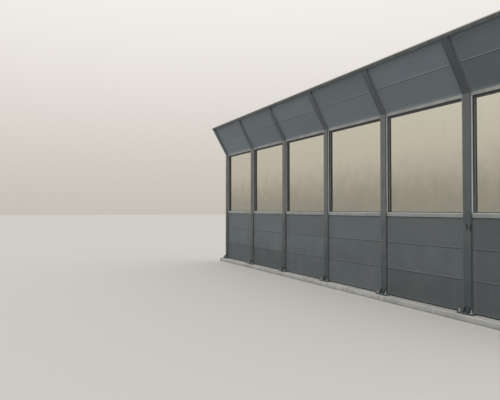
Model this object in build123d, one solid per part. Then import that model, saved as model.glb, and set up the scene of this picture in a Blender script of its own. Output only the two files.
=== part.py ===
from build123d import *
import os
from math import cos, radians, sin, tan

# Highway noise barrier, six bays. Millimetres. X runs along the barrier, -Y is
# the road side, +Z is up. The origin is the middle of the ground beam's underside.

# Driving dimensions: layout
bay_count = 6
bay_length = 2000.0
canopy_angle = 30.0
seat_gap = 0.3

# Ground beam
beam_width = 420.0
beam_height = 100.0
beam_end_overhang = 250.0
beam_edge_chamfer = 15.0

# Posts, welded from H-section
post_depth = 150.0
post_flange_width = 150.0
post_flange = 10.0
post_web = 7.0
post_root_radius = 8.0
post_top_margin = 2.0
base_plate_length = 300.0
base_plate_width = 320.0
base_plate = 20.0
base_plate_corner = 18.0
gusset_height = 110.0
gusset_reach = 65.0
gusset_toe = 18.0
gusset = 8.0
gusset_spacing = 90.0
anchor_spacing_x = 230.0
anchor_spacing_y = 240.0
anchor_hole_radius = 14.0

# Metal absorbing panels
panel_height = 500.0
panel_thickness = 100.0
panel_end_gap = 10.0
panel_edge_chamfer = 3.0
panel_rim = 22.0
panel_field_recess = 2.0
panel_tongue_width = 24.0
panel_tongue_height = 12.0
panel_tongue_taper = 2.0
panel_groove_gap = 1.0
wall_rows = 3
canopy_rows = 2

# Window panels
window_height = 2000.0
frame_depth = 100.0
sill_height = 85.0
head_height = 60.0
head_relief = 4.0
jamb_width = 90.0
sill_bevel_depth = 14.0
sill_bevel_height = 20.0
sill_drip = 6.0
pocket_depth = 20.0
glass = 10.0
glass_edge_cover = 15.0
glass_clearance = 0.15
gasket = 4.7
gasket_show = 26.0
gasket_sill_show = 6.0
gasket_cover = 12.0

# Cap channel on the canopy's free edge
cap_leg = 50.0
cap_sheet = 3.0
cap_hem = 9.0
cap_splice_gap = 4.0
cap_end_overhang = 12.0

# Rubber strips
seal_width = 40.0
seal_edge_recess = 6.0
foot_seal_width = 80.0

# Worked out: heights and places
theta = radians(canopy_angle)
barrier_length = bay_count * bay_length
channel = post_depth - 2 * post_flange
half_channel = channel / 2
unit_length = bay_length - post_web - 2 * panel_end_gap
row_pitch = panel_height + seat_gap

# a wall or canopy panel lies against the back flange, a window in the channel's middle
panel_y = half_channel - seat_gap - panel_thickness / 2
frame_front = -frame_depth / 2
frame_back = frame_depth / 2
seal_thickness = channel - panel_thickness - 3 * seat_gap
window_seal_thickness = half_channel - frame_back - 2 * seat_gap

plate_z = beam_height + seat_gap
wall_z = plate_z + base_plate + seat_gap
window_z = wall_z + wall_rows * row_pitch
window_top = window_z + window_height
head_w = frame_back * tan(theta / 2)
bend_z = window_top + head_w
canopy_w = head_w + seat_gap
canopy_top = canopy_w + canopy_rows * row_pitch - seat_gap
post_end = canopy_top + post_top_margin
cap_w = post_end + seat_gap

# Section planes: the first axis runs across the wall towards the back, the second up it
wall_plane = Plane(origin=(0, 0, 0), x_dir=(0, 1, 0), z_dir=(1, 0, 0))
canopy_plane = Plane(
    origin=(0, 0, bend_z), x_dir=(0, cos(theta), sin(theta)), z_dir=(1, 0, 0)
)


def bar(points, plane, start, length):
    # a straight bar of the outline's section, along X from start
    face = plane.offset(start) * make_face(Polyline(*points, close=True))
    return extrude(face, amount=length).solid()


def rectangle(low_u, low_w, high_u, high_w):
    return [(low_u, low_w), (high_u, low_w), (high_u, high_w), (low_u, high_w)]


def block(low, high):
    size = [high[i] - low[i] for i in range(3)]
    centre = [(high[i] + low[i]) / 2 for i in range(3)]
    return (Pos(*centre) * Box(*size)).solid()


def bay_start(bay):
    # X of a bay's left post centre
    return bay * bay_length - barrier_length / 2


def unit_start(bay):
    return bay_start(bay) + post_web / 2 + panel_end_gap


def anchor_spots():
    # centres of the four anchor holes at a post's foot
    return GridLocations(anchor_spacing_x, anchor_spacing_y, 2, 2)


def save(node, solids):
    shape = solids[0] if len(solids) == 1 else Compound(solids)
    export_step(shape, f"parts/{node}.step")


# Ground beam

def ground_beam():
    half_length = barrier_length / 2 + beam_end_overhang
    body = block(
        (-half_length, -beam_width / 2, 0), (half_length, beam_width / 2, beam_height)
    )
    top_edges = body.faces().sort_by(Axis.Z)[-1].edges()
    body = chamfer(top_edges, beam_edge_chamfer)
    hole = Pos(0, 0, beam_height / 2) * Cylinder(anchor_hole_radius, beam_height)
    for number in range(bay_count + 1):
        body -= [Pos(bay_start(number), 0, 0) * spot * hole for spot in anchor_spots()]
    return body.solid()


# Posts

def h_section():
    section = Rectangle(post_flange_width, post_depth)
    side = (post_flange_width - post_web) / 2
    for hand in (-1, 1):
        section -= Pos(hand * (post_web + side) / 2, 0) * Rectangle(side, channel)
    roots = [v for v in section.vertices() if abs(abs(v.X) - post_web / 2) < 0.01]
    return fillet(roots, post_root_radius)


def bent_column():
    # upright and leaning lengths, each cut on the mitre and welded there
    mitre = Plane(
        origin=(0, 0, bend_z), x_dir=(1, 0, 0), z_dir=(0, -sin(theta / 2), cos(theta / 2))
    )
    lean = Plane(origin=(0, 0, bend_z), x_dir=(1, 0, 0), z_dir=(0, -sin(theta), cos(theta)))
    spare = post_depth
    foot = plate_z + base_plate
    upright = extrude(Pos(0, 0, foot) * h_section(), amount=bend_z + spare - foot)
    upright = split(upright, bisect_by=mitre, keep=Keep.BOTTOM)
    leaning = extrude(lean.offset(-spare) * h_section(), amount=post_end + spare)
    leaning = split(leaning, bisect_by=mitre, keep=Keep.TOP)
    return upright + leaning


def foot_plate():
    outline = RectangleRounded(base_plate_length, base_plate_width, base_plate_corner)
    outline -= [spot * Circle(anchor_hole_radius) for spot in anchor_spots()]
    return extrude(Pos(0, 0, plate_z) * outline, amount=base_plate)


def gussets():
    # triangular ribs between the flanges' outer faces and the base plate
    foot = plate_z + base_plate
    ribs = []
    for side in (-1, 1):
        face = side * post_depth / 2
        toe = side * (post_depth / 2 + gusset_reach)
        points = [
            (face, foot),
            (toe, foot),
            (toe, foot + gusset_toe),
            (face + side * gusset_toe, foot + gusset_height),
            (face, foot + gusset_height),
        ]
        for hand in (-1, 1):
            centre = hand * gusset_spacing / 2
            ribs.append(bar(points, wall_plane, centre - gusset / 2, gusset))
    return ribs


def post():
    body = bent_column() + foot_plate()
    for rib in gussets():
        body += rib
    return body.solid()


# Metal panels

def panel_section(middle, low, tongued):
    # closed cassette: groove below, tongue above, perforated front sheet set in its rim;
    # a row with nothing above it has no tongue
    front = -panel_thickness / 2
    back = panel_thickness / 2
    edge = panel_edge_chamfer
    field = front + panel_field_recess
    groove = panel_tongue_width / 2 + panel_groove_gap
    groove_top = panel_tongue_height + panel_groove_gap
    tongue = panel_tongue_width / 2
    tip = tongue - panel_tongue_taper
    top = panel_height + panel_tongue_height
    rim_top = panel_height - panel_rim
    points = [
        (front + edge, 0),
        (-groove, 0),
        (-groove, groove_top),
        (groove, groove_top),
        (groove, 0),
        (back - edge, 0),
        (back, edge),
        (back, panel_height - edge),
        (back - edge, panel_height),
    ]
    if tongued:
        points += [(tongue, panel_height), (tip, top), (-tip, top), (-tongue, panel_height)]
    points += [
        (front + edge, panel_height),
        (front, panel_height - edge),
        (front, rim_top),
        (field, rim_top - panel_field_recess),
        (field, panel_rim + panel_field_recess),
        (front, panel_rim),
        (front, edge),
    ]
    return [(middle + u, low + w) for u, w in points]


def panel_row(plane, low, tongued=True):
    section = panel_section(panel_y, low, tongued)
    return [bar(section, plane, unit_start(bay), unit_length) for bay in range(bay_count)]


# Window panels

pocket_half = glass / 2 + gasket + 2 * glass_clearance
light_low = window_z + sill_height
light_high = window_top - head_height
glass_low = light_low - glass_edge_cover
glass_high = light_high + glass_edge_cover


def pocket(edge, direction):
    # the glazing groove's four corners, from the back, in the bar's edge at this height
    floor = edge + direction * pocket_depth
    return [
        (pocket_half, edge),
        (pocket_half, floor),
        (-pocket_half, floor),
        (-pocket_half, edge),
    ]


def sill(bay):
    # sits on the top wall panel's tongue, with a bevelled front edge to shed rain
    groove = panel_tongue_width / 2 + panel_groove_gap
    groove_top = window_z + panel_tongue_height + panel_groove_gap
    points = [
        (frame_front + sill_drip, window_z),
        (panel_y - groove, window_z),
        (panel_y - groove, groove_top),
        (panel_y + groove, groove_top),
        (panel_y + groove, window_z),
        (frame_back, window_z),
        (frame_back, light_low),
    ]
    points += pocket(light_low, -1)
    points += [
        (frame_front + sill_bevel_depth, light_low),
        (frame_front, light_low - sill_bevel_height),
        (frame_front, window_z + sill_drip),
    ]
    return bar(points, wall_plane, unit_start(bay), unit_length)


def head(bay):
    # its top slopes with the canopy and carries the canopy panel's tongue
    def leaning(u, w):
        lift = head_w + w
        return (u * cos(theta) - lift * sin(theta), bend_z + u * sin(theta) + lift * cos(theta))

    tongue = panel_tongue_width / 2
    tip = tongue - panel_tongue_taper
    back_u = (frame_back + head_w * sin(theta)) / cos(theta)
    points = [
        (frame_front, light_high),
        (frame_front, window_top),
        leaning(panel_y - tongue, 0),
        leaning(panel_y - tip, panel_tongue_height),
        leaning(panel_y + tip, panel_tongue_height),
        leaning(panel_y + tongue, 0),
        leaning(back_u - head_relief, 0),
        (frame_back, leaning(back_u, 0)[1] - head_relief),
        (frame_back, light_high),
    ]
    points += pocket(light_high, 1)
    return bar(points, wall_plane, unit_start(bay), unit_length)


def jamb(start, hand):
    # an upright bar with the glazing groove in its inner side
    inner = start + hand * jamb_width
    low = light_low + seat_gap
    high = light_high - seat_gap
    points = [
        (start, frame_front),
        (inner, frame_front),
        (inner, -pocket_half),
        (inner - hand * pocket_depth, -pocket_half),
        (inner - hand * pocket_depth, pocket_half),
        (inner, pocket_half),
        (inner, frame_back),
        (start, frame_back),
    ]
    face = Pos(0, 0, low) * make_face(Polyline(*points, close=True))
    return extrude(face, amount=high - low).solid()


def jambs():
    bars = []
    for bay in range(bay_count):
        bars.append(jamb(unit_start(bay), 1))
        bars.append(jamb(unit_start(bay) + unit_length, -1))
    return bars


def light_ends(bay):
    # X of the clear opening's two sides
    return unit_start(bay) + jamb_width, unit_start(bay) + unit_length - jamb_width


def glass_sheet(bay):
    left, right = light_ends(bay)
    return block(
        (left - glass_edge_cover, -glass / 2, glass_low),
        (right + glass_edge_cover, glass / 2, glass_high),
    )


def gasket_strips(side):
    # four strips a bay, from inside the groove to the strip's showing edge
    near = side * (glass / 2 + glass_clearance)
    far = near + side * gasket
    low_y, high_y = min(near, far), max(near, far)
    low_z, high_z = light_low - gasket_cover, light_high + gasket_cover
    sill_edge, head_edge = light_low + gasket_sill_show, light_high - gasket_show
    strips = []
    for bay in range(bay_count):
        left, right = light_ends(bay)
        low_x, high_x = left - gasket_cover, right + gasket_cover
        strips.append(block((low_x, low_y, low_z), (high_x, high_y, sill_edge)))
        strips.append(block((low_x, low_y, head_edge), (high_x, high_y, high_z)))
        side_low, side_high = sill_edge + seat_gap, head_edge - seat_gap
        strips.append(block((low_x, low_y, side_low), (left + gasket_show, high_y, side_high)))
        strips.append(block((right - gasket_show, low_y, side_low), (high_x, high_y, side_high)))
    return strips


# Cap channel

def cap(bay):
    # folded sheet over the posts' ends, hemmed outwards along the foot of each leg
    inner = post_depth / 2 + seat_gap
    outer = inner + cap_sheet
    hem = outer + cap_sheet
    top = cap_w + cap_sheet
    foot = top - cap_leg
    hem_top = foot + cap_hem
    points = [
        (-inner, foot),
        (-inner, cap_w),
        (inner, cap_w),
        (inner, foot),
        (hem, foot),
        (hem, hem_top - cap_sheet),
        (outer, hem_top),
        (outer, top),
        (-outer, top),
        (-outer, hem_top),
        (-hem, hem_top - cap_sheet),
        (-hem, foot),
    ]
    end_reach = post_flange_width / 2 + cap_end_overhang
    start = bay_start(bay) + cap_splice_gap / 2
    end = bay_start(bay + 1) - cap_splice_gap / 2
    if bay == 0:
        start = bay_start(bay) - end_reach
    if bay == bay_count - 1:
        end = bay_start(bay + 1) + end_reach
    return bar(points, canopy_plane, start, end - start)


# Rubber strips

def seal_spans(bay):
    # X spans of the two strips of a bay, behind the flanges' edges
    outer = post_flange_width / 2 - seal_edge_recess
    left = bay_start(bay) + outer
    right = bay_start(bay + 1) - outer
    return (left - seal_width, left), (right, right + seal_width)


def edge_seals(plane, low_u, high_u, low_w, high_w):
    strips = []
    for bay in range(bay_count):
        for start, end in seal_spans(bay):
            outline = rectangle(low_u, low_w, high_u, high_w)
            strips.append(bar(outline, plane, start, end - start))
    return strips


def foot_seals():
    start = base_plate_length / 2 + seat_gap
    length = bay_length - 2 * start
    low_u = panel_y - foot_seal_width / 2
    outline = rectangle(low_u, plate_z, low_u + foot_seal_width, wall_z - seat_gap)
    return [bar(outline, wall_plane, bay_start(bay) + start, length) for bay in range(bay_count)]


os.makedirs("parts", exist_ok=True)

save("ground_beam", [ground_beam()])

one_post = post()
for number in range(bay_count + 1):
    save(f"post_{number + 1}", [Pos(bay_start(number), 0, 0) * one_post])

for row in range(wall_rows):
    save(f"wall_panels_row_{row + 1}", panel_row(wall_plane, wall_z + row * row_pitch))

for row in range(canopy_rows):
    low = canopy_w + row * row_pitch
    tongued = row < canopy_rows - 1
    save(f"canopy_panels_row_{row + 1}", panel_row(canopy_plane, low, tongued))

bays = range(bay_count)
save("window_sills", [sill(bay) for bay in bays])
save("window_heads", [head(bay) for bay in bays])
save("window_jambs", jambs())
for bay in bays:
    save(f"glass_sheet_{bay + 1}", [glass_sheet(bay)])
save("gaskets_front", gasket_strips(-1))
save("gaskets_back", gasket_strips(1))
save("canopy_caps", [cap(bay) for bay in bays])

front_u = -half_channel + seat_gap
wall_seal_top = window_z - seat_gap
save(
    "wall_edge_seals",
    edge_seals(wall_plane, front_u, front_u + seal_thickness, wall_z, wall_seal_top),
)
save(
    "canopy_edge_seals",
    edge_seals(canopy_plane, front_u, front_u + seal_thickness, canopy_w, canopy_top),
)
near_u = frame_back + seat_gap
far_u = near_u + window_seal_thickness
save(
    "window_edge_seals",
    edge_seals(wall_plane, -far_u, -near_u, light_low, light_high)
    + edge_seals(wall_plane, near_u, far_u, light_low, light_high),
)
save("foot_seals", foot_seals())
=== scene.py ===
import math

import bpy
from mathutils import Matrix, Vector


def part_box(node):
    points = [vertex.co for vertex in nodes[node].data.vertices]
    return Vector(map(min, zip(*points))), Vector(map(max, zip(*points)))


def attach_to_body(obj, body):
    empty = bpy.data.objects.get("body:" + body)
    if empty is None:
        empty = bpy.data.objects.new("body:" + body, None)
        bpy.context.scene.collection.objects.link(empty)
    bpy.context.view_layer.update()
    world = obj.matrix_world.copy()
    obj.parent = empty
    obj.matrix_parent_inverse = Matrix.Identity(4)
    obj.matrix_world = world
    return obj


# Highway noise barrier: finishes, fasteners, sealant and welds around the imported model.
# X runs along the barrier, -Y is the road side, +Z is up. Everything is in metres.

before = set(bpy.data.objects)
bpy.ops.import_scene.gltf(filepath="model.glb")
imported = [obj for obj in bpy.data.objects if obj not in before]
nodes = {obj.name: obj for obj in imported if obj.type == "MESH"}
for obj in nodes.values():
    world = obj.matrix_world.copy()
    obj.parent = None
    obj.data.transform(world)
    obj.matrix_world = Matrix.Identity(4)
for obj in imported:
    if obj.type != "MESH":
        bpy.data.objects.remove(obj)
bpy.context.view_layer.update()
print("frame loaded:", len(nodes), "nodes")

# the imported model's main lines
barrier = {
    "bays": 6,
    "bayLength": 2.0,
    "lean": math.radians(30.0),
    "bend": 3.6349,  # height of the bend on the posts' centre line
    "plateTop": 0.1203,
    "postHalf": 0.075,
    "wallFoot": 0.1206,  # underside of the lowest wall panel
    "canopyFoot": 0.0137,  # the same for the canopy, along the lean from the bend
    "wallRows": 3,
    "canopyRows": 2,
    "rowPitch": 0.5003,
    "panelHeight": 0.5,
    "panelRim": 0.022,
    "panelFront": -0.0353,
    "panelField": -0.0333,  # the perforated sheet inside the rim
    "panelBack": 0.0647,
    "capHalf": 0.0783,
    "frameHalf": 0.05,
    "openingFoot": 1.7065,
    "openingTop": 3.5615,
    "openingSide": 0.1035,  # from the post's centre to the opening
}
sides = (("front", -1), ("back", 1))
postPlaces = []
for number in range(barrier["bays"] + 1):
    low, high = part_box(f"post_{number + 1}")
    postPlaces.append((low.x + high.x) / 2)


def onLean(x, across, along):
    # a point of the leaning part: across its thickness, then along it from the bend
    c, s = math.cos(barrier["lean"]), math.sin(barrier["lean"])
    return (x, across * c - along * s, barrier["bend"] + across * s + along * c)


def heading(turn, rise):
    # a direction, by its turn from +X and its rise from the level
    level = math.cos(rise)
    return Vector((math.cos(turn) * level, math.sin(turn) * level, math.sin(rise)))


def addObject(name, data):
    placed = bpy.data.objects.new(name, data)
    bpy.context.scene.collection.objects.link(placed)
    return placed


view = {
    "place": (9.744, -6.581, 1.762),
    "turn": math.radians(154.87),
    "tilt": math.radians(1.05),
    "lens": 36.0,
    "sensor": 36.0,
    "farEnd": 500.0,
}


def makeCamera(view):
    data = bpy.data.cameras.new("camera")
    data.lens = view["lens"]
    data.sensor_width = view["sensor"]
    data.clip_end = view["farEnd"]
    camera = addObject("camera", data)
    ahead = heading(view["turn"], view["tilt"])
    camera.location = view["place"]
    camera.rotation_euler = ahead.to_track_quat("-Z", "Y").to_euler()
    bpy.context.scene.camera = camera


makeCamera(view)
bpy.context.scene.view_settings.view_transform = "Standard"


# nodes are laid out in a grid, with the shader and the output to the right of it
nodeGrid = {"columns": 10, "across": 200, "down": 300, "shader": 2300, "output": 2600}


def addNode(tree, kind, inputs=None, **settings):
    # a node with its settings, and each input given a value or linked to a socket
    node = tree.nodes.new(kind)
    row, column = divmod(len(tree.nodes), nodeGrid["columns"])
    node.location = (nodeGrid["across"] * column, -nodeGrid["down"] * row)
    for name, value in settings.items():
        setattr(node, name, value)
    for name, value in (inputs or {}).items():
        if isinstance(value, bpy.types.NodeSocket):
            tree.links.new(value, node.inputs[name])
        else:
            node.inputs[name].default_value = value
    return node


def attach(kind, inputs, **settings):
    # a node in the tree that its linked sockets belong to
    tree = next(v.id_data for v in inputs.values() if isinstance(v, bpy.types.NodeSocket))
    return addNode(tree, kind, inputs, **settings)


def made(kind, inputs, **settings):
    # the same, but gives the node's first output
    return attach(kind, inputs, **settings).outputs[0]


def calc(operation, first, second=0.0, clamp=False):
    settings = {"operation": operation, "use_clamp": clamp}
    return made("ShaderNodeMath", {0: first, 1: second}, **settings)


def times(first, second):
    return calc("MULTIPLY", first, second)


def minus(first, second):
    return calc("SUBTRACT", first, second)


def over(first, second):
    return calc("DIVIDE", first, second)


def apart(first, second):
    return calc("ABSOLUTE", minus(first, second))


def raised(value, mask, share, clamp=False):
    # a value and a share of a mask on top
    return calc("ADD", value, times(mask, share), clamp)


def step(value, low, high, atLow=0.0, atHigh=1.0):
    # a smooth step between two levels of a value
    inputs = {0: value, 1: low, 2: high, 3: atLow, 4: atHigh}
    return made("ShaderNodeMapRange", inputs, interpolation_type="SMOOTHSTEP")


def fade(value, low, high, atLow=1.0):
    return step(value, low, high, atLow, 0.0)


def split(source):
    return attach("ShaderNodeSeparateXYZ", {0: source}).outputs


def vector(x=0.0, y=0.0, z=0.0):
    return made("ShaderNodeCombineXYZ", {"X": x, "Y": y, "Z": z})


def vectorCalc(operation, *values):
    node = attach("ShaderNodeVectorMath", dict(enumerate(values)), operation=operation)
    return node.outputs["Value" if operation in ("LENGTH", "DOT_PRODUCT") else "Vector"]


def mapped(source, form="POINT", **inputs):
    return made("ShaderNodeMapping", {"Vector": source, **inputs}, vector_type=form)


def blend(amount, first, second, form="MIX"):
    # a colour is a socket, or its red, green and blue
    first, second = ((*c, 1.0) if isinstance(c, tuple) else c for c in (first, second))
    inputs = {0: amount, 6: first, 7: second}
    settings = {"data_type": "RGBA", "blend_type": form}
    return attach("ShaderNodeMix", inputs, **settings).outputs[2]


def noise(source, scale, detail=3.0, roughness=0.55):
    inputs = {"Vector": source, "Scale": scale, "Detail": detail, "Roughness": roughness}
    return made("ShaderNodeTexNoise", inputs)


def patches(source, levels, **look):
    # noise, cut to a mask between two levels
    return step(noise(source, **look), *levels)


def chance(cell, seed):
    # a random number for each cell
    return made("ShaderNodeTexWhiteNoise", {"Vector": cell, "W": seed}, noise_dimensions="4D")


studio = {
    "hazeHigh": (0.90, 0.865, 0.825),
    "hazeLow": (0.55, 0.505, 0.45),
    "hazeSpan": (-0.10, 0.45),  # rise of a view ray at the low and the high haze
    "floorSeen": (0.50, 0.472, 0.435),
    "floorBounce": (0.13, 0.135, 0.14),
    "floorRoughness": 0.9,
    "floorSize": 300.0,
    "skyColour": (0.95, 0.985, 1.0),
    "skyStrength": 1.0,
    "sunColour": (1.0, 0.985, 0.96),
    "sunStrength": 1.3,
    "sunAngle": math.radians(70.0),
    "sunHeight": math.radians(52.0),
    "sunTurn": math.radians(-60.0),  # from +X, towards the road side
}


def seenDirectly(tree):
    # 1 for camera rays and for what glass and metal show
    rays = addNode(tree, "ShaderNodeLightPath").outputs
    seen = calc("MAXIMUM", rays["Is Camera Ray"], rays["Is Glossy Ray"])
    return calc("MAXIMUM", seen, rays["Is Transmission Ray"])


def makeWorld(studio):
    world = bpy.data.worlds.new("studio")
    bpy.context.scene.world = world
    world.use_nodes = True
    tree = world.node_tree
    tree.nodes.clear()
    light = addNode(tree, "ShaderNodeBackground", {
        "Color": (*studio["skyColour"], 1.0), "Strength": studio["skyStrength"],
    }).outputs[0]
    rayTurn = addNode(tree, "ShaderNodeTexCoord").outputs["Generated"]
    rise = step(split(rayTurn)["Z"], *studio["hazeSpan"])
    haze = blend(rise, studio["hazeLow"], studio["hazeHigh"])
    shown = made("ShaderNodeBackground", {"Color": haze})
    both = made("ShaderNodeMixShader", {0: seenDirectly(tree), 1: light, 2: shown})
    addNode(tree, "ShaderNodeOutputWorld", {"Surface": both})


def makeSun(studio):
    sun = bpy.data.lights.new("soft_sun", "SUN")
    sun.energy = studio["sunStrength"]
    sun.angle = studio["sunAngle"]
    sun.color = studio["sunColour"]
    towards = heading(studio["sunTurn"], studio["sunHeight"])
    addObject("soft_sun", sun).rotation_euler = towards.to_track_quat("Z", "Y").to_euler()


def makeFloor(studio):
    half = studio["floorSize"] / 2
    mesh = bpy.data.meshes.new("floor")
    corners = [(-half, -half, 0), (half, -half, 0), (half, half, 0), (-half, half, 0)]
    mesh.from_pydata(corners, [], [(0, 1, 2, 3)])
    floor = addObject("floor", mesh)
    material = bpy.data.materials.new("floor_matt")
    material.use_nodes = True
    tree = material.node_tree
    shader = tree.nodes["Principled BSDF"]
    shader.inputs["Roughness"].default_value = studio["floorRoughness"]
    shader.inputs["Specular IOR Level"].default_value = 0.0
    colour = blend(seenDirectly(tree), studio["floorBounce"], studio["floorSeen"])
    tree.links.new(colour, shader.inputs["Base Color"])
    mesh.materials.append(material)


makeWorld(studio)
makeSun(studio)
makeFloor(studio)
print("camera and studio ready")


# node groups, for shaders and for geometry

def newTree(name, kind, inputs, outputs):
    # an input is given as its number, or as its kind of socket
    tree = bpy.data.node_groups.new(name, kind)
    kinds = {float: "Float", int: "Int"}
    for label, value in inputs.items():
        socketKind = value if isinstance(value, str) else kinds[type(value)]
        socket = tree.interface.new_socket(
            label, in_out="INPUT", socket_type="NodeSocket" + socketKind
        )
        if type(value) in kinds:
            socket.default_value = value
    for label, socketKind in outputs.items():
        tree.interface.new_socket(label, in_out="OUTPUT", socket_type="NodeSocket" + socketKind)
    return tree, tree.nodes.new("NodeGroupInput").outputs


def closeTree(tree, results):
    addNode(tree, "NodeGroupOutput", results)
    return tree


def newGroup(name, inputs, outputs):
    # a shader group whose outputs are masks
    inputs = {"Vector": "Vector", **inputs}
    return newTree(name, "ShaderNodeTree", inputs, dict.fromkeys(outputs, "Float"))


def useGroup(group, inputs):
    # its outputs by their names
    return dict(attach("ShaderNodeGroup", inputs, node_tree=group).outputs.items())


tone = {
    "patches": {"detail": 4.0, "levels": (0.3, 0.7)},
    "grainDetail": 2.0,
}


def makeToneGroup():
    # broad uneven patches of a finish, and its fine grain
    tree, inner = newGroup(
        "uneven tone", {"Patch Size": 0.6, "Grain Size": 0.002}, ["patches", "grain"]
    )
    source = inner["Vector"]
    patchScale = over(1.0, inner["Patch Size"])
    grainScale = over(1.0, inner["Grain Size"])
    return closeTree(tree, {
        "patches": patches(source, scale=patchScale, **tone["patches"]),
        "grain": noise(source, grainScale, tone["grainDetail"]),
    })


streaks = {
    "runs": {"scale": 1.0, "detail": 2.0, "levels": (0.48, 0.78)},
    "breaks": {"scale": 1.7, "levels": (0.35, 0.65)},
}


def makeStreakGroup():
    # runs of dirty rain water, narrow and long, of uneven strength
    tree, inner = newGroup("rain streaks", {"Width": 0.03, "Length": 1.2}, ["streaks"])
    size = vector(inner["Width"], inner["Width"], inner["Length"])
    drawn = vectorCalc("DIVIDE", inner["Vector"], size)
    runs = patches(drawn, **streaks["runs"])
    broken = patches(inner["Vector"], **streaks["breaks"])
    return closeTree(tree, {"streaks": times(runs, broken)})


# a span is two levels, and the mask at the lower one where that isn't 0
dirt = {
    "cloud": {"scale": 2.2, "detail": 5.0, "roughness": 0.62},
    "spots": {"scale": 38.0, "roughness": 0.6},
    "unevenness": 1.1,
    "splashSpan": (0.25, 0.7, 0.55),  # of the spots
    "ledgeSpan": (0.25, 0.9),  # of the normal's rise
    "settledSpan": (0.2, 0.6, 0.6),  # of the spots
    "undersideSpan": (-0.55, -0.2),  # of the normal's rise
    "underGrimeAndShadeSpan": (0.2, 0.7, 0.7),  # of the cloud
}


def makeDirtGroup():
    # road splash that thins out with height, dust that settles on ledges, and grime with
    # painted shade on faces that look down
    tree, inner = newGroup("road dirt and underside shade", {"Splash Height": 1.0}, ["splash", "settled", "underGrimeAndShade"])
    cloud = noise(inner["Vector"], **dirt["cloud"])
    spots = noise(inner["Vector"], **dirt["spots"])
    share = over(split(inner["Vector"])["Z"], inner["Splash Height"])
    share = raised(share, minus(cloud, 0.5), dirt["unevenness"])
    facing = addNode(tree, "ShaderNodeNewGeometry").outputs["Normal"]
    upward = split(facing)["Z"]
    ledge = step(upward, *dirt["ledgeSpan"])
    underside = fade(upward, *dirt["undersideSpan"])
    return closeTree(tree, {
        "splash": times(fade(share, 0.0, 1.0), step(spots, *dirt["splashSpan"])),
        "settled": times(ledge, step(spots, *dirt["settledSpan"])),
        "underGrimeAndShade": times(underside, step(cloud, *dirt["underGrimeAndShadeSpan"])),
    })


wear = {
    "samples": 4,
    "edgeSpan": (0.8, 0.98),  # cosine between the rounded and the flat normal
    "patches": {"scale": 14.0, "detail": 4.0, "levels": (0.42, 0.62)},
}


def makeWearGroup():
    # edges where the finish has rubbed thin
    tree, inner = newGroup("edge wear", {"Radius": 0.003}, ["wear"])
    rounded = made("ShaderNodeBevel", {"Radius": inner["Radius"]}, samples=wear["samples"])
    flat = addNode(tree, "ShaderNodeNewGeometry").outputs["Normal"]
    edge = fade(vectorCalc("DOT_PRODUCT", rounded, flat), *wear["edgeSpan"])
    patchy = patches(inner["Vector"], **wear["patches"])
    return closeTree(tree, {"wear": times(edge, patchy)})


perforation = {
    "pitch": 0.005,
    "hole": 0.0025,
    "rowShare": 0.866,  # pitch of the rows against the pitch along a row
    "edgeSpan": (0.42, 0.54),  # from a hole's middle, in diameters
}


def makeHoleGroup():
    # round holes in staggered rows
    tree, inner = newGroup(
        "perforation", {"Pitch": perforation["pitch"], "Hole": perforation["hole"]}, ["holes"]
    )
    axes = split(inner["Vector"])
    rowPitch = times(inner["Pitch"], perforation["rowShare"])
    rows = over(axes["Z"], rowPitch)
    odd = calc("FLOORED_MODULO", calc("FLOOR", rows), 2.0)
    columns = raised(over(axes["X"], inner["Pitch"]), odd, 0.5)
    sideways = minus(calc("FRACT", columns), 0.5)
    upwards = minus(calc("FRACT", rows), 0.5)
    away = vector(times(sideways, inner["Pitch"]), times(upwards, rowPitch))
    share = over(vectorCalc("LENGTH", away), inner["Hole"])
    return closeTree(tree, {"holes": fade(share, *perforation["edgeSpan"])})


# spans and edges are shares of a row's pitch
boards = {
    "margin": 0.002,  # between the rim and the perforated sheet
    "sheetDepth": 0.0008,  # how near to the sheet a point has to be
    "jointSpan": (0.4890, 0.4936),  # from a board's middle
    "shadowSpan": (0.955, 0.99),
    "shadow": 0.3,  # painted shadow in the groove below the joint
    "edgeFoot": (0.012, 0.016),
    "edgeTop": (0.034, 0.044),
}


def makeBoardGroup():
    # a random shade for each board, its perforated sheet, the dark joint between two boards with
    # a painted shadow below it, a painted highlight on the pressed edge above it, and the
    # distance from the nearest post
    tree, inner = newGroup(
        "board", {"Foot": 0.0, "Pitch": barrier["rowPitch"], "Seed": 0.0},
        ["shade", "sheet", "joint", "edge", "fromPost"],
    )
    axes = split(inner["Vector"])
    row = over(minus(axes["Z"], inner["Foot"]), inner["Pitch"])
    bay = over(axes["X"], barrier["bayLength"])
    cell = vector(calc("FLOOR", bay), z=calc("FLOOR", row))
    share = calc("FRACT", row)
    fromMiddle = apart(share, 0.5)
    fromPost = apart(calc("FRACT", calc("ADD", bay, 0.5)), 0.5)
    inRim = 0.5 - (barrier["panelRim"] + boards["margin"]) / barrier["rowPitch"]
    within = calc("LESS_THAN", fromMiddle, inRim)
    depth = apart(axes["Y"], barrier["panelField"])
    core = step(fromMiddle, *boards["jointSpan"])
    below = times(step(share, *boards["shadowSpan"]), boards["shadow"])
    return closeTree(tree, {
        "shade": chance(cell, inner["Seed"]),
        "sheet": times(within, calc("LESS_THAN", depth, boards["sheetDepth"])),
        "joint": calc("MAXIMUM", core, below),
        "edge": times(step(share, *boards["edgeFoot"]), fade(share, *boards["edgeTop"])),
        "fromPost": times(fromPost, barrier["bayLength"]),
    })


# the groups of the weather, and where a look gives their sizes
weatherGroups = [
    (makeToneGroup(), {"Patch Size": "patchSize", "Grain Size": "grainSize"}),
    (makeStreakGroup(), {"Width": "streakWidth", "Length": "streakLength"}),
    (makeDirtGroup(), {"Splash Height": "splashHeight"}),
    (makeWearGroup(), {"Radius": "wearRadius"}),
]
holeGroup = makeHoleGroup()
boardGroup = makeBoardGroup()
print("shader groups ready")


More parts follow.
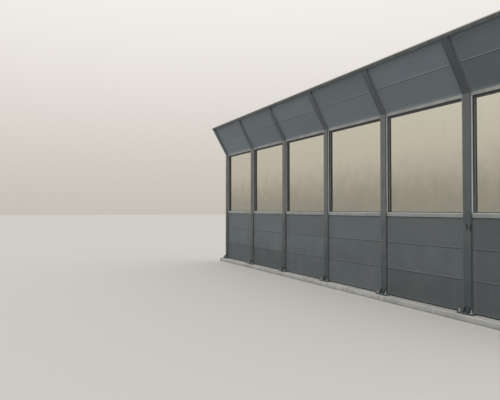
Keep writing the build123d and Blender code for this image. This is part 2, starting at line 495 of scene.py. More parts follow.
def weather(place, look):
    # the masks of each group that the look gives a size for
    masks = {}
    for group, sizes in weatherGroups:
        given = {label: look[key] for label, key in sizes.items() if key in look}
        if given:
            masks.update(useGroup(group, {"Vector": place, **given}))
    return masks


def newMaterial(name, look):
    # a material, the place of a point on it and the masks of its weather
    material = bpy.data.materials.new(name)
    material.use_nodes = True
    tree = material.node_tree
    shader = tree.nodes["Principled BSDF"]
    shader.location = (nodeGrid["shader"], 0)
    tree.nodes["Material Output"].location = (nodeGrid["output"], 0)
    for socket, value in look["shader"].items():
        shader.inputs[socket].default_value = value
    place = addNode(tree, "ShaderNodeTexCoord").outputs["Object"]
    return material, place, weather(place, look)


def connect(material, results):
    tree = material.node_tree
    for name, result in results.items():
        tree.links.new(result, tree.nodes["Principled BSDF"].inputs[name])
    return material


def finishMaterial(material, look, masks, height):
    # lays the look's colours over each other and raises the roughness, each by a share of a
    # mask. The share is in the look under the mask's name, or it is 1
    colour, roughness = look["colour"], look["roughness"]
    for mask, laid, *form in look["layers"]:
        share = times(masks[mask], look.get(mask, 1.0))
        colour = blend(share, colour, look[laid], *form)
    for mask, share in look["dulls"].items():
        roughness = raised(roughness, masks[mask], share, True)
    depth, strength = look["relief"]
    bump = made("ShaderNodeBump", {"Height": height, "Distance": depth, "Strength": strength})
    return connect(material, {"Base Color": colour, "Roughness": roughness, "Normal": bump})


# in every look: shader holds constants for its sockets, layers are a mask, the colour that it
# lays over the others and a blend type, dulls is what a mask adds to the roughness, relief is
# the depth and strength of the bump
paint = {
    "dust": (0.19, 0.18, 0.155),
    "grainSize": 0.0016,
    "streakWidth": 0.03,
    "streakLength": 1.2,
    "wearRadius": 0.003,
    "settled": 0.55,
    "dulls": {"splash": 0.18, "settled": 0.25, "patches": 0.08},
}
paintLayers = [
    ("patches", "faded"), ("streaks", "dirt"), ("splash", "dirt"), ("underGrimeAndShade", "grimeAndShade"),
    ("wear", "worn"), ("settled", "dust"),
]
postPaint = {
    **paint,
    "shader": {"Specular IOR Level": 0.3},
    "layers": paintLayers + [("above", "aloft"), ("shade", "dirt"), ("scrapes", "scraped")],
    "colour": (0.163, 0.159, 0.158),
    "faded": (0.176, 0.171, 0.166),
    "aloft": (0.143, 0.160, 0.183),  # lighter and bluer up the leaning part
    "aloftSpan": (0.10, 0.80),  # above the bend
    "above": 0.85,
    "dirt": (0.036, 0.057, 0.060),
    # over faces that look down: grime, and painted shade that darkens the leaning flange
    "grimeAndShade": (0.059, 0.092, 0.114),
    "worn": (0.21, 0.215, 0.21),
    "scraped": (0.014, 0.018, 0.018),
    "roughness": 0.46,
    "relief": (0.0003, 1.0),
    "patchSize": 0.5,
    "splashHeight": 3.2,
    "splash": 1.0,
    "underGrimeAndShade": 0.55,
    "streaks": 0.32,
    "wear": 0.45,
    "shade": 0.40,
    "seed": 99976.0,
}
# two small scrapes at the near post, below its window
scrapes = {
    "places": [(4.000, -0.075, 1.476), (4.067, -0.075, 1.460)],
    "halfSizes": [(0.019, 0.03, 0.060), (0.018, 0.03, 0.062)],
    "edgeSpan": (0.7, 1.1),  # in half sizes
    "ragged": (0.02, 0.0, 0.03),
    "noise": {"Scale": 40.0, "Detail": 3.0},
}


def scrapeMask(place):
    ragged = attach("ShaderNodeTexNoise", {"Vector": place, **scrapes["noise"]})
    shake = vectorCalc("SUBTRACT", ragged.outputs["Color"], (0.5, 0.5, 0.5))
    shaken = vectorCalc("MULTIPLY_ADD", shake, scrapes["ragged"], place)
    total = 0.0
    for middle, size in zip(scrapes["places"], scrapes["halfSizes"]):
        local = mapped(shaken, "TEXTURE", Location=middle, Scale=size)
        mask = fade(vectorCalc("LENGTH", local), *scrapes["edgeSpan"])
        total = calc("MAXIMUM", total, mask)
    return total


def makePostPaint(look):
    material, place, masks = newMaterial("post_paint", look)
    axes = split(place)
    low, high = (barrier["bend"] + rise for rise in look["aloftSpan"])
    masks["above"] = step(axes["Z"], low, high)
    bay = over(axes["X"], barrier["bayLength"])
    number = calc("FLOOR", calc("ADD", bay, 0.5))
    masks["shade"] = chance(vector(number), look["seed"])
    masks["scrapes"] = scrapeMask(place)
    return finishMaterial(material, look, masks, masks["grain"])


panelPaint = {
    **paint,
    "shader": {"Specular IOR Level": 0.4},
    "layers": paintLayers + [
        ("shade", "dirt"), ("farSide", "farSideWithoutPaintedLight", "MULTIPLY"), ("pale", "paintedLight"),
        ("holes", "holeAndJointShade"), ("edge", "lit"), ("joint", "holeAndJointShade"),
    ],
    "holeAndJointShade": (0.012, 0.013, 0.014),  # painted shade in the holes, and in the joints, which are also dark with dirt
    "roughness": 0.58,
    "relief": (0.0003, 0.7),
    "patchSize": 0.9,
    "streaks": 0.22,
    "wear": 0.3,
    "holes": 0.6,
    "holeDepth": 4.0,  # against the grain's height
    "capShadowLiftShare": 0.9,
    "postShadeLiftSpan": (0.09, 0.17),  # from the middle of a post
    "behindSpan": (0.0, 0.03),  # where the far side's tone sets in
    # pressed sheet is never quite flat
    "waveStretch": (0.7, 1.0, 1.8),
    "wave": {"scale": 2.4, "detail": 1.0},
    "waveHeight": 12.0,
}
panelPaints = {
    "wall_panel_paint": {
        **panelPaint,
        "colour": (0.134, 0.155, 0.163),
        "faded": (0.153, 0.172, 0.176),
        "dirt": (0.060, 0.065, 0.064),
        "grimeAndShade": (0.060, 0.065, 0.064),
        "dust": (0.18, 0.17, 0.148),
        "worn": (0.20, 0.205, 0.20),
        "lit": (0.150, 0.170, 0.175),
        "splashHeight": 1.5,
        "splash": 0.5,
        "underGrimeAndShade": 0.3,
        "shade": 0.58,
        "seed": 73170.0,
        "edge": 0.22,
        "joint": 0.95,
        "paintedLight": (0.205, 0.228, 0.234),
        "capShadowLiftSpan": (9.0, 9.1),  # no band of painted light under a cap
        "postShadeLift": 0.30,
        "farSideWithoutPaintedLight": (1.0, 1.0, 1.0),
        "lean": 0.0,
        "origin": (0.0, 0.0, 0.0),
        "foot": barrier["wallFoot"],
    },
    "canopy_panel_paint": {
        **panelPaint,
        # partly painted light: lighter than the wall's paint, for a face that looks down and gets
        # less light
        "colour": (0.2735, 0.316, 0.336),
        "faded": (0.296, 0.339, 0.356),
        "dirt": (0.105, 0.115, 0.115),
        "grimeAndShade": (0.105, 0.115, 0.115),
        "worn": (0.22, 0.225, 0.22),
        "lit": (0.330, 0.370, 0.380),
        "splashHeight": 0.5,
        "splash": 0.0,
        "underGrimeAndShade": 0.0,
        "shade": 0.55,
        "seed": 68221.0,
        "edge": 0.5,
        "joint": 0.85,
        "paintedLight": (0.46, 0.51, 0.53),
        "capShadowLiftSpan": (0.88, 0.955),  # painted light that lifts the cap's shadow on the panels, along the lean from the bend
        "postShadeLift": 0.24,
        "farSideWithoutPaintedLight": (0.68, 0.68, 0.68),  # lacks the painted light that lifts the road side's colour for a face looking down
        "lean": barrier["lean"],
        "origin": (0.0, 0.0, barrier["bend"]),
        "foot": barrier["canopyFoot"],
    },
}


def makePanelPaint(name):
    look = panelPaints[name]
    material, place, masks = newMaterial(name, look)
    flat = mapped(place, "TEXTURE", Location=look["origin"], Rotation=(look["lean"], 0.0, 0.0))
    axes = split(flat)
    masks.update(useGroup(boardGroup, {
        "Vector": flat, "Foot": look["foot"], "Seed": look["seed"],
    }))
    # the holes are painted with the shade inside the panel
    holes = useGroup(holeGroup, {"Vector": flat})["holes"]
    masks["holes"] = times(holes, masks["sheet"])
    # painted light, on the road side only: a band that lifts the cap's shadow, and a strip that
    # lifts the shade beside each post
    paintedLight = step(axes["Z"], *look["capShadowLiftSpan"], 0.0, look["capShadowLiftShare"])
    postShadeLift = fade(masks["fromPost"], *look["postShadeLiftSpan"], look["postShadeLift"])
    paintedLift = calc("MAXIMUM", paintedLight, postShadeLift)
    masks["pale"] = times(paintedLift, calc("LESS_THAN", axes["Y"], 0.0))
    masks["farSide"] = step(axes["Y"], *look["behindSpan"])
    wavy = noise(mapped(flat, Scale=look["waveStretch"]), **look["wave"])
    height = minus(masks["grain"], times(masks["holes"], look["holeDepth"]))
    return finishMaterial(material, look, masks, raised(height, wavy, look["waveHeight"]))


capPaint = {
    "shader": {},
    "layers": [("patches", "faded"), ("grimy", "grimeAndShade"), ("rusty", "rust"), ("settled", "dust")],
    "colour": (0.128, 0.146, 0.140),
    "faded": (0.158, 0.168, 0.158),
    "grimeAndShade": (0.074, 0.066, 0.052),
    "rust": (0.120, 0.070, 0.042),
    "dust": (0.20, 0.185, 0.155),
    "roughness": 0.6,
    "dulls": {"rusty": 0.25},
    "relief": (0.0005, 1.0),
    "patchSize": 0.22,
    "grainSize": 0.0018,
    "splashHeight": 0.5,
    "wearRadius": 0.004,
    "grimePatches": {"scale": 5.0, "detail": 6.0, "roughness": 0.68, "levels": (0.42, 0.62)},
    "rustPatches": {"scale": 9.0, "detail": 6.0, "roughness": 0.7, "levels": (0.56, 0.7)},
    "rustShare": 0.6,  # of the patches, against worn edges
    "rustHeight": 0.8,
    "grimy": 0.5,
    "rusty": 0.8,
    "settled": 0.5,
}


def makeCapPaint(look):
    material, place, masks = newMaterial("cap_paint", look)
    masks["grimy"] = patches(place, **look["grimePatches"])
    rusty = times(patches(place, **look["rustPatches"]), look["rustShare"])
    masks["rusty"] = calc("MAXIMUM", rusty, masks["wear"])
    height = raised(masks["grain"], masks["rusty"], look["rustHeight"])
    return finishMaterial(material, look, masks, height)


aluminium = {
    "shader": {"Metallic": 0.35},
    "layers": [
        ("patches", "oxide"), ("streaks", "grimeAndShade"), ("lines", "oxide"), ("settled", "dust"),
    ],
    "grimeAndShade": (0.10, 0.10, 0.092),
    "roughness": 0.48,
    "dulls": {"patches": 0.15},
    "relief": (0.0001, 1.0),
    "patchSize": 0.35,
    "streakWidth": 0.05,
    "streakLength": 0.6,
    "splashHeight": 1.2,
    "streaks": 0.4,
    "lines": 0.12,
    "linePitch": 0.0009,
    "lineDetail": 2.0,
}
# drawn is how far the lines are stretched along each axis, settled is the share of dust
# the three bars are one aluminium; their colours differ as painted light for how each bar is lit,
# the jambs' most, lifted against the shade of their recess behind the posts' flanges
frameBars = {
    "window_sills": {
        "drawn": (0.02, 1.0, 1.0),
        "colour": (0.325, 0.334, 0.324),
        "oxide": (0.256, 0.264, 0.253),
        "dust": (0.74, 0.745, 0.70),
        "settled": 1.0,
    },
    "window_heads": {
        "drawn": (0.02, 1.0, 1.0),
        "colour": (0.38, 0.386, 0.375),
        "oxide": (0.28, 0.286, 0.274),
        "dust": (0.33, 0.32, 0.285),
        "settled": 0.4,
    },
    "window_jambs": {
        "drawn": (1.0, 1.0, 0.02),
        # painted light: much lighter, against the shade of the jambs' recess
        "colour": (0.61, 0.625, 0.62),
        "oxide": (0.50, 0.51, 0.505),
        "dust": (0.40, 0.39, 0.35),
        "settled": 0.4,
    },
}


def makeAluminium(bars):
    look = {**aluminium, **frameBars[bars]}
    material, place, masks = newMaterial(bars + "_aluminium", look)
    drawn = mapped(place, Scale=look["drawn"])
    masks["lines"] = noise(drawn, 1.0 / look["linePitch"], look["lineDetail"])
    return finishMaterial(material, look, masks, masks["lines"])


clearSheet = {
    "shader": {"Transmission Weight": 1.0, "IOR": 1.5},
    "tint": (0.72, 0.704, 0.608),
    "filmAndPaintedShade": (0.33, 0.32, 0.285),
    "roughness": 0.03,
    "filmDull": 0.12,
    "filmHeight": 1.3,  # how far the film reaches above the sill: road splash, and painted shade for the darker surroundings seen through the lower glass
    "filmShare": 0.75,
    "cloud": {"scale": 3.0, "detail": 4.0},
    "unevenness": 0.5,
    "streakWidth": 0.04,
    "streakLength": 0.9,
    "streaks": 0.08,
    "spotPatches": {"scale": 60.0, "detail": 2.0, "levels": (0.62, 0.75)},
    "spots": 0.05,
}


def makeClearSheet(look):
    material, place, masks = newMaterial("clear_sheet", look)
    # darker towards the foot: road-splash film, and painted shade for the darker surroundings seen
    # through the glass
    above = minus(split(place)["Z"], barrier["openingFoot"])
    uneven = minus(noise(place, **look["cloud"]), 0.5)
    share = raised(over(above, look["filmHeight"]), uneven, look["unevenness"])
    filmAndPaintedShade = times(fade(share, 0.0, 1.0), look["filmShare"])
    filmAndPaintedShade = raised(filmAndPaintedShade, masks["streaks"], look["streaks"])
    spots = patches(place, **look["spotPatches"])
    filmAndPaintedShade = raised(filmAndPaintedShade, spots, look["spots"], True)
    return connect(material, {
        "Base Color": blend(filmAndPaintedShade, look["tint"], look["filmAndPaintedShade"]),
        "Roughness": raised(look["roughness"], filmAndPaintedShade, look["filmDull"]),
    })


rubber = {
    "shader": {"Specular IOR Level": 0.35},
    "layers": [("patches", "chalk"), ("settled", "chalk")],
    "dulls": {"patches": 0.15},
    "relief": (0.0002, 1.0),
    "patchSize": 0.12,
    "grainSize": 0.001,
    "splashHeight": 0.6,
    "patches": 0.45,
    "settled": 0.6,
}
rubbers = {
    "black_rubber": {
        "colour": (0.032, 0.033, 0.033),
        "chalk": (0.066, 0.066, 0.062),
        "roughness": 0.72,
    },
    "grey_sealant": {
        "colour": (0.100, 0.101, 0.098),
        "chalk": (0.150, 0.149, 0.140),
        "roughness": 0.6,
    },
    "shade_lifting_sealant": {
        # painted light: as light as the panels, to lift the shade in the recess beside the leaning
        # flanges
        "colour": (0.205, 0.220, 0.226),
        "chalk": (0.260, 0.272, 0.272),
        "roughness": 0.6,
    },
}


def makeRubber(name):
    look = {**rubber, **rubbers[name]}
    material, place, masks = newMaterial(name, look)
    return finishMaterial(material, look, masks, masks["grain"])


concrete = {
    "shader": {"Specular IOR Level": 0.3},
    "layers": [("patches", "pale"), ("streaks", "stain"), ("wet", "damp"), ("marks", "stain")],
    "colour": (0.34, 0.33, 0.305),
    "pale": (0.42, 0.41, 0.385),
    "stain": (0.17, 0.16, 0.14),
    "damp": (0.13, 0.125, 0.115),
    "roughness": 0.92,
    "dulls": {"wet": -0.2},
    "relief": (0.0012, 1.0),
    "patchSize": 0.5,
    "grainSize": 0.006,
    "grainHeight": 0.7,
    "streakWidth": 0.06,
    "streakLength": 0.5,
    "streaks": 0.6,
    "wet": 0.6,
    "wetSpan": (0.02, 0.07),  # above the ground
    "wetEdge": {"scale": 6.0, "detail": 4.0},
    "wetUnevenness": 0.05,
    "poreScale": 55.0,
    "poreSpan": (0.10, 0.22),
    "porePatches": {"scale": 7.0, "levels": (0.5, 0.62)},
    "pores": 0.8,
    "poreDepth": 2.0,
    "boardWidth": 1.2,  # shuttering boards
    "seamSpan": (0.4965, 0.4995),  # from a board's middle, in board widths
    "seams": 0.5,
}


def makeConcrete(look):
    material, place, masks = newMaterial("cast_concrete", look)
    axes = split(place)
    cells = made("ShaderNodeTexVoronoi", {"Vector": place, "Scale": look["poreScale"]})
    sparse = patches(place, **look["porePatches"])
    pores = times(fade(cells, *look["poreSpan"]), sparse)
    board = calc("FRACT", over(axes["X"], look["boardWidth"]))
    seams = step(apart(board, 0.5), *look["seamSpan"])
    wetEdge = noise(place, **look["wetEdge"])
    height = raised(axes["Z"], wetEdge, look["wetUnevenness"])
    masks["wet"] = fade(height, *look["wetSpan"])
    masks["marks"] = calc("MAXIMUM", times(pores, look["pores"]), times(seams, look["seams"]))
    hollows = calc("MAXIMUM", times(pores, look["poreDepth"]), seams)
    relief = minus(times(masks["grain"], look["grainHeight"]), hollows)
    return finishMaterial(material, look, masks, relief)


zinc = {
    "shader": {"Metallic": 0.8},
    "layers": [("flakes", "spangle"), ("rusty", "rust"), ("settled", "dust")],
    "colour": (0.40, 0.41, 0.415),
    "spangle": (0.50, 0.51, 0.515),
    "rust": (0.20, 0.095, 0.045),
    "dust": (0.20, 0.185, 0.155),
    "roughness": 0.42,
    "dulls": {"rusty": 0.4},
    "relief": (0.0002, 1.0),
    "flakeScale": 240.0,
    "grain": {"scale": 500.0, "detail": 2.0},
    "splashHeight": 0.5,
    "wearRadius": 0.0015,
    "rustPatches": {"scale": 30.0, "detail": 5.0, "roughness": 0.65, "levels": (0.52, 0.66)},
    "rustShare": 0.75,
    "settled": 0.4,
}


def makeZinc(look):
    material, place, masks = newMaterial("zinc_steel", look)
    flakes = attach("ShaderNodeTexVoronoi", {"Vector": place, "Scale": look["flakeScale"]})
    masks["flakes"] = split(flakes.outputs["Color"])["X"]
    rusty = calc("MAXIMUM", patches(place, **look["rustPatches"]), masks["wear"])
    masks["rusty"] = times(rusty, look["rustShare"])
    return finishMaterial(material, look, masks, noise(place, **look["grain"]))


blackRubber = makeRubber("black_rubber")
sealant = makeRubber("grey_sealant")
zincSteel = makeZinc(zinc)
# start of a node's name -> its finish
finishes = {
    "ground_beam": makeConcrete(concrete),
    "post_": makePostPaint(postPaint),
    "wall_panels": makePanelPaint("wall_panel_paint"),
    "canopy_panels": makePanelPaint("canopy_panel_paint"),
    **{bars: makeAluminium(bars) for bars in frameBars},
    "glass_sheet": makeClearSheet(clearSheet),
    # the gaskets and the wall and window edge seals take the grey sealant, lighter than black
    # rubber, partly as painted light that lifts the shade of their recesses
    "gaskets": sealant,
    "canopy_caps": makeCapPaint(capPaint),
    "wall_edge_seals": sealant,
    "canopy_edge_seals": makeRubber("shade_lifting_sealant"),
    "window_edge_seals": sealant,
    "foot_seals": blackRubber,
}


def dressNodes():
    for name, node in nodes.items():
        finish = next(f for start, f in finishes.items() if name.startswith(start))
        if not node.material_slots:
            node.data.materials.append(finish)
        for slot in node.material_slots:
            slot.material = finish


dressNodes()
print("finishes on the packed nodes")


# geometry trees for what repeats

def newShapeTree(name, inputs):
    inputs = {"Geometry": "Geometry", **inputs, "Finish": "Material"}
    return newTree(name, "GeometryNodeTree", inputs, {"Geometry": "Geometry"})


def closeShapeTree(tree, shape, finish):
    real = made("GeometryNodeRealizeInstances", {0: shape})
    painted = made("GeometryNodeSetMaterial", {"Geometry": real, "Material": finish})
    return closeTree(tree, {"Geometry": painted})


def lifted(shape, height):
    offset = vector(z=height)
    return made("GeometryNodeTransform", {"Geometry": shape, "Translation": offset})


def joined(tree, shapes):
    node = tree.nodes.new("GeometryNodeJoinGeometry")
    for shape in shapes:
        tree.links.new(shape, node.inputs[0])
    return node.outputs[0]


def onPoints(points, shape, **turn):
    inputs = {"Points": points, "Instance": shape, **turn}
    return made("GeometryNodeInstanceOnPoints", inputs)


def rod(sides, radius, depth, segments=1):
    return made("GeometryNodeMeshCylinder", {
        "Vertices": sides, "Side Segments": segments, "Radius": radius, "Depth": depth,
    })


def chamferedRod(tree, sides, radius, depth, edge, share):
    # a closed rod or prism, its end faces drawn in to a share of the radius
    axes = split(addNode(tree, "GeometryNodeInputPosition").outputs[0])
    half = times(depth, 0.5)
    level = over(calc("ABSOLUTE", axes["Z"]), half)
    atEnd = calc("GREATER_THAN", level, 0.5)
    size = minus(1.0, times(atEnd, 1.0 - share))
    inset = times(minus(1.0, atEnd), edge)
    height = times(calc("SIGN", axes["Z"]), minus(half, inset))
    spot = vector(times(axes["X"], size), times(axes["Y"], size), height)
    shape = rod(sides, radius, depth, segments=3)
    return made("GeometryNodeSetPosition", {"Geometry": shape, "Position": spot})


def ring(tree, sides, radius):
    circle = {"Resolution": sides, "Radius": radius}
    return addNode(tree, "GeometryNodeCurvePrimitiveCircle", circle).outputs[0]


def swept(curve, profile, **scale):
    inputs = {"Curve": curve, "Profile Curve": profile, "Fill Caps": True, **scale}
    return made("GeometryNodeCurveToMesh", inputs)


bolt = {
    "sizes": {
        "Stud Radius": 0.012,
        "Stud Height": 0.058,
        "Thread Pitch": 0.003,
        "Nut Radius": 0.0205,
        "Nut Height": 0.0205,
        "Washer Radius": 0.022,
        "Washer Height": 0.004,
    },
    "washerSides": 28,
    "studSides": 20,
    "nutSides": 6,
    "threadSides": 4,
    "nutEdge": 0.12,  # height of the chamfer, against the nut's
    "nutFace": 0.88,  # radius of the end faces, against the nut's
    "studEdge": 0.0015,
    "studFace": 0.8,
    "core": 0.9,  # radius below the thread, against the stud's
    "plainEnd": 0.002,  # above the thread
    "threadTurn": 12,  # points in a turn
    "threadRadius": 0.42,  # against the pitch
}


def makeBoltTree(bolt):
    # stud with a cut thread, washer and hexagon nut, standing on each layout point
    tree, inner = newShapeTree("anchor bolt", bolt["sizes"])
    washerTop, nutHeight = inner["Washer Height"], inner["Nut Height"]
    washer = rod(bolt["washerSides"], inner["Washer Radius"], washerTop)
    nut = chamferedRod(
        tree, bolt["nutSides"], inner["Nut Radius"], nutHeight,
        times(nutHeight, bolt["nutEdge"]), bolt["nutFace"],
    )
    core = times(inner["Stud Radius"], bolt["core"])
    stud = chamferedRod(
        tree, bolt["studSides"], core, inner["Stud Height"], bolt["studEdge"], bolt["studFace"]
    )
    threadFoot = calc("ADD", washerTop, nutHeight)
    threadLength = minus(minus(inner["Stud Height"], threadFoot), bolt["plainEnd"])
    spiral = made("GeometryNodeCurveSpiral", {
        "Resolution": bolt["threadTurn"], "Start Radius": core, "End Radius": core,
        "Height": threadLength, "Rotations": over(threadLength, inner["Thread Pitch"]),
    })
    ridge = ring(tree, bolt["threadSides"], times(inner["Thread Pitch"], bolt["threadRadius"]))
    parts = [
        lifted(washer, times(washerTop, 0.5)),
        lifted(nut, raised(washerTop, nutHeight, 0.5)),
        lifted(stud, times(inner["Stud Height"], 0.5)),
        lifted(swept(spiral, ridge), threadFoot),
    ]
    placed = onPoints(inner["Geometry"], joined(tree, parts))
    return closeShapeTree(tree, placed, inner["Finish"])


heads = {
    "domeSegments": 8,
    "domeRings": 5,
    "washerSides": 14,
    "washerHeight": 0.5,  # against the head's height, as is blockLift
    "blockSides": 6,
    "blockRadius": 0.66,  # against the washer's
    "blockLift": 0.6,
}


def makeHeadTree(name, domed):
    # rows of small fastener heads: each layout point starts a row along X
    tree, inner = newShapeTree(name, {
        "Count": 7, "Spacing": 0.29, "Tilt": 0.0, "Radius": 0.004, "Height": 0.002,
    })
    radius, height = inner["Radius"], inner["Height"]
    row = made("GeometryNodeMeshLine", {
        "Count": inner["Count"], "Offset": vector(inner["Spacing"]),
    })
    spots = onPoints(inner["Geometry"], row)
    spots = made("GeometryNodeRealizeInstances", {0: spots})
    if domed:
        ball = addNode(tree, "GeometryNodeMeshUVSphere", {
            "Segments": heads["domeSegments"], "Rings": heads["domeRings"], "Radius": 1.0,
        }).outputs[0]
        size = vector(radius, radius, height)
        head = made("GeometryNodeTransform", {"Geometry": ball, "Scale": size})
    else:
        # washer-faced hexagon head
        depth = times(height, heads["washerHeight"])
        rim = rod(heads["washerSides"], radius, depth)
        block = rod(heads["blockSides"], times(radius, heads["blockRadius"]), height)
        block = lifted(block, times(height, heads["blockLift"]))
        head = joined(tree, [rim, block])
    placed = onPoints(spots, head, Rotation=vector(inner["Tilt"]))
    return closeShapeTree(tree, placed, inner["Finish"])


# body, uneven and ripple are shares of the bead's radius: everywhere, by noise, and on every
# second ripple
bead = {
    "body": 0.65,
    "uneven": 0.5,
    "ripple": 0.22,
    "noise": {"Scale": 60.0, "Detail": 1.0},
    "sides": 6,
}


def makeWeldTree(bead):
    # a rippled bead along each edge of the layout
    tree, inner = newShapeTree("weld bead", {"Radius": 0.005, "Ripple": 0.004, "Seed": 3.0})
    lines = made("GeometryNodeMeshToCurve", {0: inner["Geometry"]})
    lines = made(
        "GeometryNodeResampleCurve", {"Curve": lines, "Length": inner["Ripple"]},
        mode="LENGTH",
    )
    beat = calc("MODULO", addNode(tree, "GeometryNodeInputIndex").outputs[0], 2.0)
    spot = addNode(tree, "GeometryNodeInputPosition").outputs[0]
    uneven = made(
        "ShaderNodeTexNoise", {"Vector": spot, "W": inner["Seed"], **bead["noise"]},
        noise_dimensions="4D",
    )
    swell = raised(times(uneven, bead["uneven"]), beat, bead["ripple"])
    size = times(calc("ADD", swell, bead["body"]), inner["Radius"])
    laid = swept(lines, ring(tree, bead["sides"], 1.0), Scale=size)
    return closeShapeTree(tree, laid, inner["Finish"])


boltTree = makeBoltTree(bolt)
rivetTree = makeHeadTree("rivet row", True)
screwTree = makeHeadTree("screw row", False)
weldTree = makeWeldTree(bead)
print("geometry trees ready")


def grow(name, layout, tree, values, finish, edges=()):
    # runs a tree on a layout mesh, keeps the result as a plain mesh that rides on the part
    mesh = bpy.data.meshes.new(name)
    mesh.from_pydata(layout, edges, [])
    piece = addObject(name, mesh)
    modifier = piece.modifiers.new("grow", "NODES")
    modifier.node_group = tree
    settings = {**values, "Finish": finish}
    for socket in tree.interface.items_tree:
        if socket.in_out == "INPUT" and socket.name in settings:
            modifier[socket.identifier] = settings[socket.name]
    bpy.context.view_layer.update()
    ready = piece.evaluated_get(bpy.context.evaluated_depsgraph_get())
    result = bpy.data.meshes.new_from_object(ready)
    piece.modifiers.clear()
    piece.data = result
    result.name = name
    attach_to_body(piece, "root")
    print(name, len(result.polygons), "faces")


# tilt of a fastener's head on an upright face
upright = math.radians(90.0)
anchors = {"spacingX": 0.230, "spacingY": 0.240, "studHeight": 0.058}


def makeAnchorBolts(values):
    spots = [
        (x + sideX * values["spacingX"] / 2, sideY * values["spacingY"] / 2, barrier["plateTop"])
        for x in postPlaces for sideX in (-1, 1) for sideY in (-1, 1)
    ]
    size = {"Stud Height": values["studHeight"]}
    grow("anchor_bolts", spots, boltTree, size, zincSteel)


panelRivets = {
    "count": 7,
    "spacing": 0.29,
    "fromPost": 0.13,
    "fromEdge": 0.011,
    "size": {"Radius": 0.0045, "Height": 0.0022},
}


def rivetRows(values, foot, rows):
    # starts of the rivet rows: each board has one in its lower rim and one in its upper
    starts = []
    for x in postPlaces[:-1]:
        for row in range(rows):
            low = foot + row * barrier["rowPitch"]
            high = low + barrier["panelHeight"]
            for z in (low + values["fromEdge"], high - values["fromEdge"]):
                starts.append((x + values["fromPost"], z))
    return starts


def makePanelRivets(values):
    row = {**values["size"], "Count": values["count"], "Spacing": values["spacing"]}
    wallRows = rivetRows(values, barrier["wallFoot"], barrier["wallRows"])
    canopyRows = rivetRows(values, barrier["canopyFoot"], barrier["canopyRows"])
    for side, face in (("front", barrier["panelFront"]), ("back", barrier["panelBack"])):
        grow(
            f"wall_panel_rivets_{side}", [(x, face, z) for x, z in wallRows], rivetTree,
            {**row, "Tilt": upright}, finishes["wall_panels"],
        )
        leaning = [onLean(x, face, along) for x, along in canopyRows]
        grow(
            f"canopy_panel_rivets_{side}", leaning, rivetTree,
            {**row, "Tilt": upright + barrier["lean"]}, finishes["canopy_panels"],
        )


capScrews = {"fromPost": 0.045, "along": 0.998, "size": {"Radius": 0.007, "Height": 0.0045}}


def makeCapScrews(values):
    # two self-drilling screws on each side of the cap at each post
    for side, sign in sides:
        face = sign * barrier["capHalf"]
        starts = [onLean(x - values["fromPost"], face, values["along"]) for x in postPlaces]
        grow(f"cap_screws_{side}", starts, screwTree, {
            **values["size"], "Count": 2, "Spacing": 2 * values["fromPost"],
            "Tilt": barrier["lean"] - sign * upright,
        }, finishes["canopy_caps"])


frameScrews = {
    "count": 6,
    "fromPost": 0.17,
    "sillHeight": 1.652,
    "headHeight": 3.590,
    "jambHeights": (1.80, 2.22, 2.64, 3.06, 3.48),
    "jambSide": 0.0895,
    "size": {"Radius": 0.0042, "Height": 0.0018},
}


def makeFrameScrews(values):
    # dome-headed screws in the face of the bars
    reach = barrier["bayLength"] - 2 * values["fromPost"]
    size = {**values["size"], "Tilt": upright}
    for side, sign in sides:
        face = sign * barrier["frameHalf"]
        for bar in ("sill", "head"):
            height = values[bar + "Height"]
            level = [(x + values["fromPost"], face, height) for x in postPlaces[:-1]]
            grow(f"{bar}_screws_{side}", level, rivetTree, {
                **size, "Count": values["count"], "Spacing": reach / (values["count"] - 1),
            }, finishes[f"window_{bar}s"])
        column = [
            (x + values["jambSide"], face, z)
            for x in postPlaces[:-1] for z in values["jambHeights"]
        ]
        grow(f"jamb_screws_{side}", column, rivetTree, {
            **size, "Count": 2, "Spacing": barrier["bayLength"] - 2 * values["jambSide"],
        }, finishes["window_jambs"])


makeAnchorBolts(anchors)
makePanelRivets(panelRivets)
makeCapScrews(capScrews)
makeFrameScrews(frameScrews)
print("fasteners placed")


welds = {
    "gussetSide": 0.045,
    "gussetHalf": 0.004,
    "gussetReach": 0.065,
    "gussetHeight": 0.110,
    "footRadius": 0.0048,
    "overrun": 0.002,  # how far a bead runs past the steel's edge
    "mitreRadius": 0.0024,
    "mitreInset": 0.003,  # from the ends of the mitre's edge
    "mitreSunk": 0.0009,  # below the flange's face
}


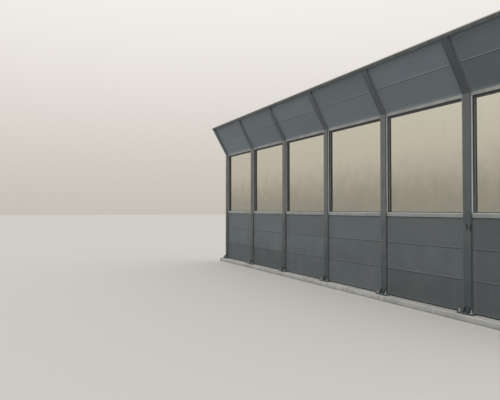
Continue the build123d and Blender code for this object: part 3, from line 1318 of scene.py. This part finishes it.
def makeWelds(values):
    points, edges = [], []

    def run(path, closed=False):
        first, count = len(points), len(path)
        points.extend(path)
        spans = count if closed else count - 1
        edges.extend((first + k, first + (k + 1) % count) for k in range(spans))

    half, foot = barrier["postHalf"], barrier["plateTop"]
    wide = half + values["overrun"]
    top = foot + values["gussetHeight"] + values["overrun"]
    for x in postPlaces:
        for side in (-1, 1):
            near = side * half
            far = side * (half + values["gussetReach"] + values["overrun"])
            run([(x - wide, near, foot), (x + wide, near, foot)])
            for hand in (-1, 1):
                left, right = (
                    x + hand * values["gussetSide"] + cheek * values["gussetHalf"]
                    for cheek in (-1, 1)
                )
                # up one cheek, over the rib, down the other and round its toe
                run([
                    (left, far, foot), (left, near, foot), (left, near, top),
                    (right, near, top), (right, near, foot), (right, far, foot),
                ], closed=True)
    size = {"Radius": values["footRadius"]}
    grow("foot_welds", points, weldTree, size, finishes["post_"], edges)

    points, edges = [], []
    rise = math.tan(barrier["lean"] / 2)
    reach = half - values["mitreInset"]
    for x in postPlaces:
        for side in (-1, 1):
            face = side * (half - values["mitreSunk"])
            z = barrier["bend"] + face * rise
            run([(x - reach, face, z), (x + reach, face, z)])
    size = {"Radius": values["mitreRadius"]}
    grow("mitre_welds", points, weldTree, size, finishes["post_"], edges)


makeWelds(welds)
print("welds laid")


# each section runs round an opening: distance in from the bars' edge as a share of what
# shows, extra distance, and depth behind the bars' face
glazing = {
    "show": {"side": 0.026, "head": 0.040, "sill": 0.006},
    "clear": 0.0001,
    "lip": [(0.0, 0.0, 0.0402), (0.0, 0.0, 0.0015), (0.0, 0.003, 0.0015), (0.0, 0.004, 0.0402)],
    "bead": [(0.0, 0.0045, 0.0400), (0.0, 0.0045, 0.0235), (0.45, 0.0, 0.0285),
             (1.0, 0.0, 0.0375), (1.0, 0.0, 0.0400)],
}


def makeGlazing(name, section, side, finish):
    # a closed ring of the section round each opening, mitred at the four corners
    points, faces = [], []
    count = len(section)
    for x in postPlaces[:-1]:
        left = x + barrier["openingSide"] + glazing["clear"]
        right = x + barrier["bayLength"] - barrier["openingSide"] - glazing["clear"]
        foot = barrier["openingFoot"] + glazing["clear"]
        top = barrier["openingTop"] - glazing["clear"]
        first = len(points)
        for share, extra, depth in section:
            y = side * (barrier["frameHalf"] - depth)
            inwards = {
                bar: min(show, share * show + extra) for bar, show in glazing["show"].items()
            }
            low, high = foot + inwards["sill"], top - inwards["head"]
            near, far = left + inwards["side"], right - inwards["side"]
            points += [(near, y, low), (far, y, low), (far, y, high), (near, y, high)]
        for loop in range(count):
            for corner in range(4):
                following = (loop + 1) % count
                turn = (corner + 1) % 4
                a, b = first + loop * 4 + corner, first + loop * 4 + turn
                c, d = first + following * 4 + turn, first + following * 4 + corner
                faces.append((a, b, c, d) if side < 0 else (a, d, c, b))
    mesh = bpy.data.meshes.new(name)
    mesh.from_pydata(points, [], faces)
    mesh.materials.append(finish)
    piece = addObject(name, mesh)
    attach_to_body(piece, "root")


for side, sign in sides:
    makeGlazing(f"glazing_lips_{side}", glazing["lip"], sign, blackRubber)
    makeGlazing(f"glazing_beads_{side}", glazing["bead"], sign, sealant)
print("glazing lips and beads laid")
